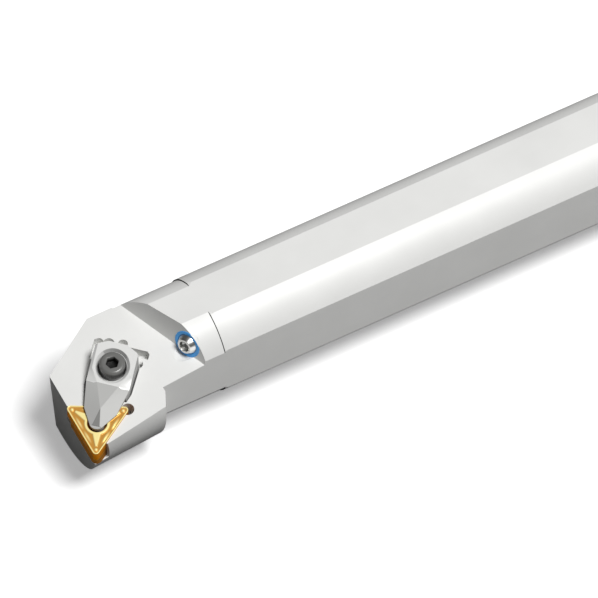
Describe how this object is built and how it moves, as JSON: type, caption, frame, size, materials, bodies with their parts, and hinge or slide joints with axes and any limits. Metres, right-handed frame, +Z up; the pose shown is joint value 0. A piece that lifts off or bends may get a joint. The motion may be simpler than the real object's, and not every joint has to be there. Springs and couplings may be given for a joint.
{
  "type": "boring bar",
  "caption": "Right-hand internal turning bar with flats on its shank, a tilted head, a clamped triangular insert and a coolant nozzle.",
  "frame": {"origin": "centre of the rear end face, on the axis of the shank", "axes": "+X from the head to the rear end along the shank, -Y to the side of the cutting tip, +Z up, normal to the top flat"},
  "size_m": [0.3, 0.0478, 0.0438],
  "materials": {
    "bar_steel": "ground and nickel plated, satin",
    "coated_carbide": "sintered carbide with a golden titanium nitride coating",
    "carbide": "ground sintered carbide",
    "clamp_steel": "hardened and satin",
    "screw_steel": "black oxide, lightly oiled",
    "spring_steel": "drawn spring wire",
    "nozzle_steel": "polished stainless steel",
    "seal_ring": "blue moulded plastic"
  },
  "bodies": {
    "bar": {"bar": "bar_steel", "insert": "coated_carbide", "shim": "carbide", "shim_screw": "screw_steel", "coolant_nozzle": "nozzle_steel", "nozzle_ring": "seal_ring", "clamp_spring": "spring_steel"},
    "clamp": {"clamp": "clamp_steel"},
    "screw": {"clamp_screw": "screw_steel"}
  },
  "joints": [
    {"name": "clamp_lift", "type": "slide", "parent": "bar", "child": "clamp", "axis": [-0.12, -0.1754, 0.9772], "range_m": [0, 0.003], "deforming": ["clamp_spring"]},
    {"name": "clamp_screw_turn", "type": "hinge", "parent": "clamp", "child": "screw", "pos_m": [-0.28016, -0.00525, 0.00899], "axis": [-0.12, -0.1754, 0.9772], "range_deg": [0, 1350]}
  ],
  "couplings": [
    {"joint": "clamp_screw_turn", "follows": "clamp_lift", "rad_per_m": 7854}
  ]
}
